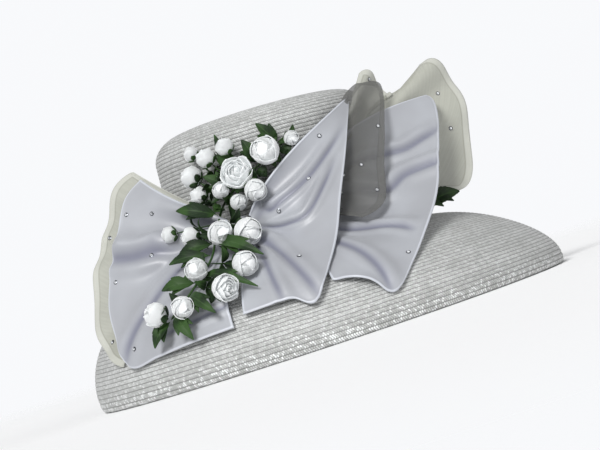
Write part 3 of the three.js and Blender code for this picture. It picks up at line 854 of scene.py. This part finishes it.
def ribbon_surface(name, along, across):
    """The ribbon's fan, raised outwards by its folds, by the gathers round the knot, which fade out along the
    ribbon, and by soft waves that grow towards the free edge. Also how much painted shade each point takes in
    the troughs between the pleats and beside the folds."""
    spec = RIBBONS[name]

    def plain(at, over):
        return fan(spec["folds"], *spec["gaps"], at, over)

    first, last = spec.get("round", (0, 0))
    corner = np.exp(-across / CORNER) * first + np.exp((across - 1) / CORNER) * last
    middle = plain(along, across)
    if corner.any():
        full = [plain(along * (1 - cut), np.array([over]))[:, 0] for cut, over in zip(corner, across)]
        middle = np.stack(full, 1)
    normal = grid_normal(middle)
    normal = normal * np.sign((normal * [1, 1, 0] * middle).sum() + 40 * normal[..., 2].sum())
    t, s = along[:, None], across[None, :]
    phase = 1.7 * len(name) + len(spec["folds"])
    pleat = 0.5 + 0.5 * np.cos(2 * np.pi * spec["pleats"] * (s + 0.03 * np.sin(9 * s + phase)))
    fade, start = (1 - t) ** GATHER_FADE, smoothstep(t, 0.0, GATHER_START)
    pleat = pleat * fade * start
    wave = 0.5 + 0.5 * np.sin(2 * np.pi * (2.6 * s + 0.3 * t) + phase)
    wave = 0.4 * wave * np.sin(np.pi * t) + 0.35 * np.sin(19 * s - 3 * t + phase) * t**2
    count, deep = spec.get("ruffle", (0, 0))
    swing = 2 * np.pi * count * (s + 0.04 * np.sin(11 * s + phase)) + phase
    ruffle = deep * t**1.6 * (0.5 + 0.5 * np.sin(swing))
    high = spec["depth"] * (pleat + wave) + ruffle + spec.get("lift", 0) * smoothstep(t, 0.3, 0.8)
    # Painted shade in the troughs between the pleats, fading out along the ribbon.
    hollow_shade = 0.8 * (1 - pleat / np.maximum(fade, 0.01)) * fade * start
    for peak, wide, turns in FOLDS.get(name, []):
        at = between_rows(turns, np.linspace(0, len(turns) - 1, FOLD_STEPS))
        steps = np.stack([plain(np.array([a]), np.array([b, b - BESIDE]))[0] for a, b in at])
        rise, low = fold_height(middle, steps, peak, wide)
        high = high + rise
        hollow_shade = np.maximum(hollow_shade, low)
    return middle + normal * high[..., None], hollow_shade * np.ones_like(high)


def ribbon(name):
    """A ribbon's surface as a closed sheet with a rolled hem: the wall is thin at the very edge, full just
    behind it and half as thick again along the hem."""
    spec = RIBBONS[name]
    middle, hollow_shade = ribbon_surface(name, edged(*RIBBON_ALONG), edged(*RIBBON_ACROSS))
    down, over = (run_along(middle, axis) for axis in (0, 1))
    to_end = down[-1:] - down
    to_edge = np.minimum(to_end, np.minimum(over, over[:, -1:] - over))
    roll = 1 + 0.7 * np.exp(-(((to_edge - 1.2) / 0.9) ** 2))
    wall = spec["wall"] * roll * (0.3 + 0.7 * smoothstep(to_edge, -0.2, 0.7))
    points, faces = closed_sheet(middle, wall)
    attributes = {"to_edge": np.tile(to_edge.ravel(), 2), "hollow_shade": np.tile(hollow_shade.ravel(), 2)}
    uv = both_sides(over, to_end)
    piece = make_piece(f"{name}_ribbon", points, faces, [spec["material"]], uv, attributes=attributes)
    return dress(piece, name.split("_")[0], name)


def knot():
    """The gathered middle: a padded roll with its pleats running outwards over it."""
    turn, rise = np.meshgrid(np.linspace(0, 2 * np.pi, 73)[:-1], np.linspace(0, np.pi, 25), indexing="xy")
    swell = 1 + 0.06 * np.cos(12 * turn) * np.sin(rise)
    across = KNOT_RADIUS * np.sin(rise) * swell
    local = np.stack([across * np.cos(turn), KNOT_HALF_HEIGHT * np.cos(rise), across * np.sin(turn)], -1)
    angle = np.radians(KNOT_TURN)
    spin = np.array([[np.cos(angle), -np.sin(angle), 0], [np.sin(angle), np.cos(angle), 0], [0, 0, 1]])
    centre = upright(np.array(KNOT_TURN), crown_radius(np.array(KNOT_HEIGHT)) + KNOT_STANDS_OUT, KNOT_HEIGHT)
    points = lean(local @ spin.T + centre)
    index = np.arange(turn.size).reshape(turn.shape)
    index[0], index[-1] = index[0, 0], index[-1, 0]
    points, faces, used = used_only(points.reshape(-1, 3), ring_faces(index)[:, [0, 3, 2, 1]])
    uv = np.stack([turn.ravel() * 7, rise.ravel() * 9], -1)[used]
    attributes = {"to_edge": np.full(len(used), 9.0), "hollow_shade": np.zeros(len(used))}
    piece = make_piece("knot_roll", points, faces, [SATIN], uv, attributes=attributes)
    return dress(piece, "satin", "bow_knot")


# Flowers and leaves

STEM_RADIUS, STALK_RADIUS, SMALL_GAP = 0.9, 0.8, 0.3
TUBE_SIDES, TIP_SHARE = 10, 0.35
LEAF_WALL, LEAF_ARCH, LEAF_VEINS = 0.45, 0.16, 19
# A bud of diameter 1: its height, and where along it a petal is widest.
BUD_TOP, WIDEST_AT = 1.04, 0.55
# The line of each stem. Columns: turn, radius and height.
STEM = [
    (-8, 92, 160), (-21, 93, 149), (-34, 93, 138), (-46, 96, 125),
    (-48.5, 113.5, 105.5), (-46.5, 141, 85), (-49.5, 169, 65), (-54, 188, 50),
]
SPRIG = [(22, 92.5, 77.5), (30, 106, 80), (38, 122, 79)]
# Columns: part of the way down the stem, then the turn, radius and height of the middle, and the diameter.
BUDS = [
    (0.13, -21, 102, 152, 20), (0.02, -9, 99, 157, 10), (0.31, -35, 106, 142, 22),
    (0.28, -29, 114, 126, 15), (0.26, -38, 101, 164, 12), (0.34, -47, 104, 160, 13),
    (0.38, -56, 97, 167, 10), (0.42, -58, 100, 150, 15), (0.46, -55, 104, 134, 12),
    (0.42, -44, 106, 133, 11), (0.45, -38, 107, 121, 11), (0.52, -34, 131, 97, 19),
    (0.62, -42.5, 136, 101, 17), (0.57, -56, 125, 105, 14), (0.74, -34, 165, 73.5, 17),
    (0.78, -46.5, 168, 79, 15), (0.84, -38.7, 184, 60.5, 18), (0.92, -49, 192, 56, 15),
    (1, -56, 193, 55.5, 17), (0.54, -64.5, 127, 112, 11),
]
OPEN_BUDS = (3, 17)
# Columns: part of the way down the stem, then the turn, radius and height of the tip, and the width.
LEAVES = [
    (0.08, -22, 100, 175, 9), (0.2, -30, 101, 166, 9), (0.22, -24, 96, 134, 7), (0.36, -50, 106, 148, 8),
    (0.33, -43, 94, 177, 7), (0.06, -12, 97, 145, 8), (0.48, -47, 112, 122, 8), (0.5, -63, 118, 129, 9),
    (0.64, -59, 139, 94.5, 8), (0.64, -29.5, 156, 78, 8), (0.79, -31.8, 180, 56.5, 6),
    (0.82, -58, 171, 72, 8), (0.88, -42, 194, 47, 8), (0.7, -60, 149, 90, 7), (0.97, -48.7, 200, 34, 8),
    (1, -59, 200, 35.5, 8), (0.14, -16, 98, 142, 7),
]
SPRIG_LEAVES = [(0.3, 30, 120, 94, 9), (0.6, 37, 130, 92, 9), (1, 45, 148, 84, 11), (0.85, 36, 142, 76, 10)]


def on_hat(turn, radius, height):
    """A point of the hat as it stands, with the crown's lean."""
    return lean(upright(np.asarray(turn, float), radius, height))


def curve_points(nodes, part):
    """Points of the centripetal Catmull-Rom curve through the nodes, at parts of the way along."""
    nodes = np.concatenate([[2 * nodes[0] - nodes[1]], nodes, [2 * nodes[-1] - nodes[-2]]])
    at = np.atleast_1d(part) * (len(nodes) - 3)
    i = np.minimum(np.floor(at).astype(int), len(nodes) - 4)
    t = (at - i)[:, None]
    p0, p1, p2, p3 = (nodes[i + k] for k in range(4))
    d0, d1, d2 = (np.sqrt(np.linalg.norm(b - a, axis=1))[:, None] for a, b in ((p0, p1), (p1, p2), (p2, p3)))
    m1 = d1 * ((p1 - p0) / d0 - (p2 - p0) / (d0 + d1) + (p2 - p1) / d1)
    m2 = d1 * ((p2 - p1) / d1 - (p3 - p1) / (d1 + d2) + (p3 - p2) / d2)
    return p1 + t * (m1 + t * (3 * (p2 - p1) - 2 * m1 - m2 + t * (2 * (p1 - p2) + m1 + m2)))


def tube(line, radius):
    """A round tube along a line, closed at both ends by a rounded tip. The radius is one number or one for
    each point."""
    along = unit(np.gradient(line, axis=0))
    outward = unit(np.stack([line[:, 0], line[:, 1], 0 * line[:, 0] + 55], -1))
    side = unit(np.cross(along, outward))
    up = np.cross(side, along)
    radius = np.broadcast_to(radius, len(line)).astype(float).copy()
    radius[[0, -1]] *= TIP_SHARE
    turn = np.linspace(0, 2 * np.pi, TUBE_SIDES + 1)[:-1]
    ring = side[:, None] * np.cos(turn)[None, :, None] + up[:, None] * np.sin(turn)[None, :, None]
    points = (line[:, None] + radius[:, None, None] * ring).reshape(-1, 3)
    points = np.concatenate([points, line[:1], line[-1:]])
    return points, capped_faces(len(line), TUBE_SIDES), np.full((len(points), 2), 0.5)


def round_axis(radius, turn, height):
    """Points round the Z axis, for a turn in radians."""
    return np.stack(np.broadcast_arrays(radius * np.cos(turn), radius * np.sin(turn), height), -1)


def egg(height):
    """Radius of a bud of diameter 1 at a part of its height: a blunt oval."""
    return 0.5 * np.maximum(1 - np.abs(2 * height - 1) ** 2.5, 0) ** 0.55


def petal(size, turn, share, top, wrap, flare):
    """One petal of a bud that stands along +Z from its foot. It rises from the foot to its top and wraps
    round the axis by its half angle, widest a little above the middle and round at the tip. It follows the
    egg shape, times its share, flares outwards near the tip, and is skewed so that one side lies under the
    next petal."""
    up, across = edged(9, 0.02)[:, None], 2 * edged(11, 0.015)[None, :] - 1
    height = 0.05 + (top - 0.05) * up
    swelling = 0.4 + 0.6 * np.sin(np.pi / 2 * up / WIDEST_AT)
    rounded = np.sqrt(np.maximum(1 - ((up - WIDEST_AT) / 0.455) ** 2, 0.0))
    angle = turn + wrap * np.where(up < WIDEST_AT, swelling, rounded) * across
    radius = share * egg(np.clip(height / BUD_TOP, 0, 0.93))
    radius = radius + flare * up**3 + 0.028 * across * up + 0.02 * across**4 * up
    height = height - 0.25 * flare * up**4
    surface = size * round_axis(radius, angle, height)
    return *closed_sheet(surface, 0.022 * size), both_sides(across, up)


def bud_heart(size, top, share):
    """The rolled heart of a bud: an egg whose skin winds up to its tip in a spiral step."""
    turn, rise = np.meshgrid(np.linspace(0, 2 * np.pi, 37)[:-1], np.linspace(0, 1, 21), indexing="xy")
    winding = ((turn / (2 * np.pi) + 1.6 * rise) % 1) - 0.5
    radius = share * egg(0.04 + 0.93 * rise) * (1 + 0.08 * winding)
    height = top * (0.05 + 0.95 * rise)
    return rings_closed(size * round_axis(radius, turn, height), size)


def rings_closed(points, size):
    """A stack of rings as a closed body, with a point in the middle of its first and of its last ring."""
    rows, columns = points.shape[:2]
    flat = np.concatenate([points.reshape(-1, 3), points[0].mean(0)[None], points[-1].mean(0)[None]])
    uv = np.stack([flat[:, 0] / size, 0.3 + flat[:, 2] / size], -1)
    return flat, capped_faces(rows, columns), uv


def sepal(size, turn):
    """A green sepal under the bud: a narrow pointed leaf that lies on the egg and lets go at its tip."""
    up, across = np.linspace(0, 1, 7)[:, None], np.linspace(-1, 1, 5)[None, :]
    height = 0.03 + 0.24 * up
    angle = turn + 0.6 * (1 - up**1.6) ** 0.8 * across + 0.01 * across
    radius = egg(height / BUD_TOP) * 1.03 + 0.03 + 0.05 * up**3
    surface = size * round_axis(radius, angle, height)
    return *closed_sheet(surface, 0.03 * size), both_sides(across, up)


def rosebud(number, size, stalk, opened):
    """A bud on its stalk, along +Z from the stalk's foot. A closed bud has three petals wrapped over a
    heart, and an opened rose has more of them, wider apart towards the outside."""
    chance = np.random.default_rng(number)
    first = chance.uniform(0, 2 * np.pi)
    if opened:
        rings = [
            (2, 0.30, 0.90, 1.7, 0.0), (3, 0.46, 0.92, 1.3, 0.01), (4, 0.64, 0.90, 1.0, 0.02),
            (4, 0.83, 0.86, 1.0, 0.03), (5, 1.0, 0.76, 0.85, 0.08),
        ]
        white = [bud_heart(size, 0.84, 0.2), bud_heart(size, 0.72, 0.93)]
    else:
        rings = [(2, 0.84, 1.03, 1.7, -0.02), (3, 0.95, 1.0, 1.25, 0.0), (3, 1.03, 0.84, 1.15, 0.03)]
        white = [bud_heart(size, 1.0, 0.80), bud_heart(size, 0.86, 0.93)]
    for ring, (count, share, top, wrap, flare) in enumerate(rings):
        for k in range(count):
            turn = first + ring * 1.1 + 2 * np.pi * k / count + chance.uniform(-0.15, 0.15)
            wobble = chance.uniform(-1, 1, 2)
            white.append(petal(size, turn, share, top + 0.035 * wobble[0], wrap, flare + 0.02 * wobble[1]))
    green = [sepal(size, first + 2 * np.pi * k / 5) for k in range(5)]
    parts = [
        (points + [0, 0, stalk], faces, uv, slot)
        for slot, group in enumerate((white, green)) for points, faces, uv in group
    ]
    reach = min(0.9 * size, 13)
    for k in range(3):
        turn = first + 0.7 + 2 * np.pi / 3 * k
        way = np.array([np.cos(turn), np.sin(turn), 0.0])
        foot = np.array([0, 0, 0.45 * stalk]) + 0.4 * way
        tip = foot + way * reach + [0, 0, 0.35 * reach]
        parts.append((*leaflet(foot, tip, 0.55 * reach, np.array([0, 0, 1.0])), 1))
    line = np.stack([np.zeros(6), np.zeros(6), np.linspace(0, stalk + 0.08 * size, 6)], -1)
    parts.append((*tube(line + [0.001, 0, 0], np.linspace(0.75, 0.95, 6) * STALK_RADIUS), 1))
    return parts


def turned_to(direction):
    """Axes with the third along the direction, as the columns of a matrix."""
    side = unit(np.cross(direction, [0.2, 0.3, 1.0]))
    return np.stack([side, np.cross(direction, side), direction], -1)


def leaving(line, on, target):
    """Where a stalk leaves a stem for its target, just clear of the stem, and the direction it takes."""
    foot = curve_points(line, on)[0]
    direction = unit(target - foot)
    return foot + direction * (STEM_RADIUS + STALK_RADIUS + SMALL_GAP), direction


def bud(number, row):
    """Bud and stalk from their place on the stem to the middle of the bud."""
    on, turn, radius, height, size = row
    middle = on_hat(turn, radius, height)
    foot, direction = leaving(stem_nodes, on, middle)
    stalk = max(np.linalg.norm(middle - foot) - 0.5 * size, 0.5)
    points, faces, uv, slots = join_parts(rosebud(number, 0.93 * size + 1.8, stalk, number in OPEN_BUDS))
    points = points @ turned_to(direction).T + foot
    piece = make_piece(f"rosebud_{number:02d}", points, faces, [PETAL, LEAF], uv, slots)
    return dress(piece, "petal", f"bud_{number:02d}")


def leaflet(foot, tip, width, out):
    """A leaf blade from foot to tip: pointed, widest at two fifths, with a toothed edge, folded along the
    midrib, arched lengthwise and quilted between its side veins."""
    long = np.linalg.norm(tip - foot)
    direction = (tip - foot) / long
    side = unit(np.cross(direction, out))
    up = np.cross(side, direction)
    t, s = edged(26, 0.01)[:, None], 2 * edged(9, 0.015)[None, :] - 1
    blade = np.sin(np.pi * np.clip(t * 1.06 - 0.06, 0, 1) ** 0.75) ** 0.85
    teeth = 1 - 0.10 * ((t * 9) % 1) * np.abs(s) ** 2
    half = 0.5 * width * (0.07 + blade * teeth)
    quilt = 0.10 * np.abs(np.sin(LEAF_VEINS * (t - 0.35 * np.abs(s)))) * (1 - s**2) * blade
    height = LEAF_ARCH * long * np.sin(np.pi * t) + half * 0.34 * np.abs(s) ** 1.3
    height = height + quilt - 0.05 * long * t**3
    surface = foot + (t * long)[..., None] * direction + (half * s)[..., None] * side + height[..., None] * up
    return *closed_sheet(surface, LEAF_WALL), both_sides(s, t)


def leaf(name, node, line, row):
    """A leaf on the stem, with a smaller leaflet to each side of its foot."""
    on, turn, radius, height, width = row
    tip = on_hat(turn, radius, height)
    foot, direction = leaving(line, on, tip)
    out = unit(upright(np.array(turn, float), 1, 0) + [0, 0, 0.6])
    side = unit(np.cross(direction, out))
    long = np.linalg.norm(tip - foot)
    blades = [leaflet(foot, tip, width * 1.25, out)]
    for way in (-1, 1):
        near = foot + 0.22 * (tip - foot)
        end = near + 0.42 * long * direction + way * 0.42 * min(long, 16) * side + 0.12 * long * out
        blades.append(leaflet(near, end, width * 0.85, out))
    points, faces, uv, slots = join_parts([(*blade, 0) for blade in blades])
    return dress(make_piece(name, points, faces, [LEAF], uv, slots), "leaf_green", node)


def stem(name, node, nodes, steps):
    """The wire stem through the nodes of its line."""
    points, faces, uv = tube(curve_points(nodes, np.linspace(0, 1, steps)), STEM_RADIUS)
    return dress(make_piece(name, points, faces, [LEAF], uv), "leaf_green", node)


# The rhinestones of each ribbon: part of the way along it and across it.
STONES = {
    "satin_left": [(0.7, 0.16), (0.94, 0.17), (0.63, 0.4), (0.94, 0.38), (0.92, 0.64)],
    "satin_front": [(0.73, 0.07), (0.63, 0.22), (0.33, 0.33), (0.72, 0.53)],
    "satin_right": [(0.45, 0.36), (0.94, 0.5)],
    "organza_front": [(0.93, 0.38), (0.76, 0.58), (0.6, 0.61), (0.92, 0.74), (0.62, 0.74)],
    "organza_right": [(0.93, 0.07), (0.93, 0.74), (0.93, 0.62)],
    "organza_left": [(0.94, 0.36), (0.94, 0.84)],
}
# A stone is measured in units of its radius: the radius and height of its rings of corners, from the dark
# ring's foot up to the table.
STONE_RADIUS, STONE_SIDES = 1.2, 8
STONE_RINGS = [(1.5, -0.3), (1.5, 0.0), (1.12, 0.1), (0.68, 0.7)]


def rhinestones():
    """Small round stones with eight facets and a flat table, each in a dark flat ring, on the ribbons' outer
    faces."""
    turn = 2 * np.pi * np.arange(STONE_SIDES) / STONE_SIDES
    rings = [round_axis(radius, turn, height) for radius, height in STONE_RINGS]
    ends = [[0, 0, STONE_RINGS[0][1]], [0, 0, STONE_RINGS[-1][1]]]
    stone = np.concatenate([*rings, ends]) * STONE_RADIUS
    faces = capped_faces(len(rings), STONE_SIDES)
    near = np.array([-0.004, 0, 0.004])
    parts = []
    for name, along, across in [(name, *place) for name, places in STONES.items() for place in places]:
        surface, _ = ribbon_surface(name, along + near, across + near)
        centre = surface[1, 1]
        normal = unit(np.cross(surface[2, 1] - surface[0, 1], surface[1, 2] - surface[1, 0]))
        normal = normal * np.sign(normal @ unit(centre * [1, 1, 0] + [0, 0, 40]))
        points = stone @ turned_to(normal).T + centre + normal * 0.9 * RIBBONS[name]["wall"]
        parts.append((points, faces, np.zeros((len(points), 2)), 0))
    points, faces, uv, _ = join_parts(parts)
    dark_ring = np.repeat([1, 1, 1, 0, 0], STONE_SIDES)
    # In each band of eight faces one takes the dark copy; on the crown and the table this is painted shade
    # that makes the stones seem to sparkle.
    painted_shade_facet = np.tile([0, 0, 0, 0, 1, 0, 0, 0], len(STONE_RINGS) + 1)
    slots = np.tile(dark_ring | painted_shade_facet, len(parts))
    piece = make_piece("rhinestones", points, faces, [RHINESTONE, DARK_FACET], uv, slots)
    piece.data.polygons.foreach_set("use_smooth", np.zeros(len(piece.data.polygons), bool))
    return dress(piece, "rhinestone")


dress(crown(), "braid", "crown")
dress(brim(), "braid", "brim")
lining_piece = dress(brim_lining(), "lining", "brim_lining")
ribbons = {name: ribbon(name) for name in RIBBONS}
knot()
stem_nodes = on_hat(*np.array(STEM, float).T)
sprig_nodes = on_hat(*np.array(SPRIG, float).T)
stem("stem_wire", "spray_stem", stem_nodes, 90)
stem("sprig_wire", "sprig_stem", sprig_nodes, 24)
for number, row in enumerate(BUDS, 1):
    bud(number, row)
for number, row in enumerate(LEAVES, 1):
    leaf(f"leafspray_{number:02d}", f"leaf_{number:02d}", stem_nodes, row)
for number, row in enumerate(SPRIG_LEAVES, 1):
    leaf(f"sprigspray_{number}", f"sprig_leaf_{number}", sprig_nodes, row)
rhinestones()


# Surroundings


def make_floor():
    """A pale floor that fades out into the pale surroundings."""
    angle = np.linspace(0, 2 * np.pi, 65)[:-1]
    ring = np.stack([np.cos(angle), np.sin(angle), 0 * angle], -1) * 3500
    mesh = bpy.data.meshes.new("floor")
    mesh.from_pydata([tuple(p * MM) for p in ring], [], [tuple(range(64))])
    floor = add_object("floor", mesh)
    material, p = new_material("floor_paint", (0.96, 0.96, 0.96), 0.9)
    x, y, _ = p.split(p.place())
    far = p.math("SQRT", p.plus(p.times(x, x), p.times(y, y)))
    p.feed(p.shader.inputs["Alpha"], p.between(far, 1.6, 0.6))
    mesh.materials.append(material)


def sun(name, side, rise, spread, power):
    """A distant soft light from an angle round the hat and a height, with its own spread, in degrees."""
    a, e = np.radians([side, rise])
    back = Vector((np.sin(a) * np.cos(e), -np.cos(a) * np.cos(e), np.sin(e)))
    data = bpy.data.lights.new(name, "SUN")
    data.energy, data.angle = power, np.radians(spread)
    light = add_object(name, data)
    light.location = back * 2
    light.rotation_euler = back.to_track_quat("Z", "Y").to_euler()


make_floor()
sun("key", -42, 38, 22, 2.75)
sun("fill", 30, 12, 60, 0.45)
world = bpy.data.worlds.new("surroundings")
bpy.context.scene.world = world
world.use_nodes = True
background = world.node_tree.nodes["Background"]
background.inputs["Color"].default_value = (0.97, 0.98, 1.0, 1)
seen = world.node_tree.nodes.new("ShaderNodeLightPath")
level = world.node_tree.nodes.new("ShaderNodeMapRange")
level.inputs["To Min"].default_value, level.inputs["To Max"].default_value = 0.42, 0.97
world.node_tree.links.new(seen.outputs["Is Camera Ray"], level.inputs["Value"])
world.node_tree.links.new(level.outputs["Result"], background.inputs["Strength"])
bpy.context.scene.view_settings.view_transform = "Standard"
